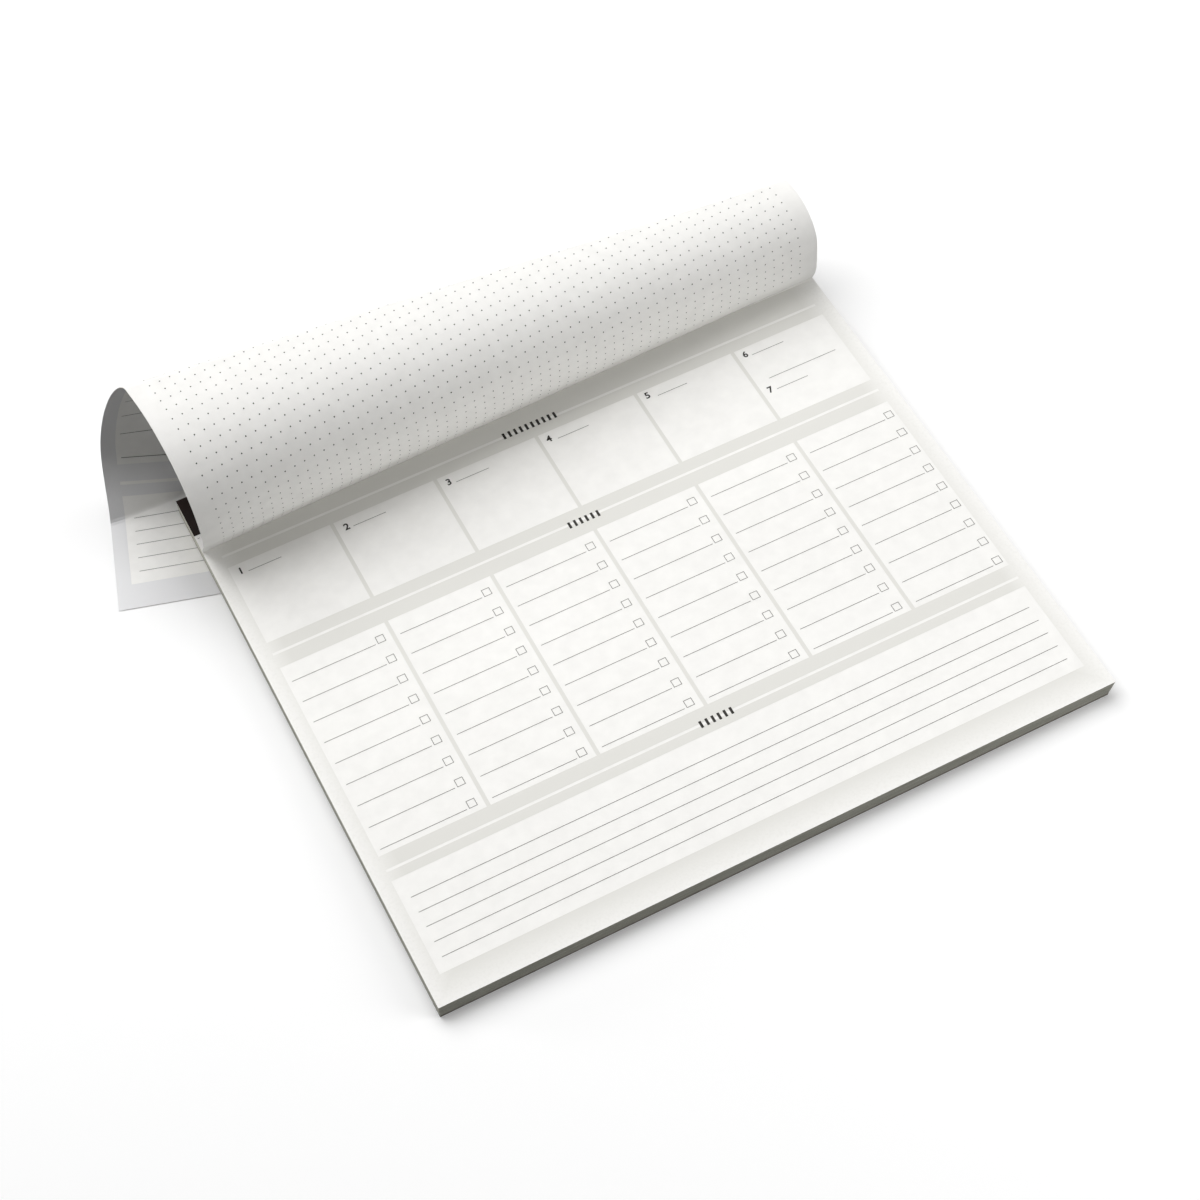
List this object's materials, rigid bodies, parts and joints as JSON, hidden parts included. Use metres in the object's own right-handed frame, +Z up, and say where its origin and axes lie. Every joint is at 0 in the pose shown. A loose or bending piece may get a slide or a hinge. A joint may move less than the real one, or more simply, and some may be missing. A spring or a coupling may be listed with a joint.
{
  "type": "weekly planner desk pad",
  "caption": "Desk pad of weekly planner sheets on a card back, taped along its back edge, with the top sheet turned up and curled over behind and under the pad.",
  "frame": {"origin": "on the table, under the middle of the object's bounding box", "axes": "+X along the pad's front edge to the right, +Y towards the taped edge, +Z up from the table"},
  "size_m": [0.3754, 0.3192, 0.0936],
  "materials": {
    "page_paper": "matte",
    "sheet_paper": "matte",
    "dark_tape": "matte",
    "chipboard": "matte"
  },
  "bodies": {
    "root": {"page_block": "page_paper", "turned_sheet": "sheet_paper", "binding_tape": "dark_tape", "backing_board": "chipboard"}
  },
  "joints": []
}
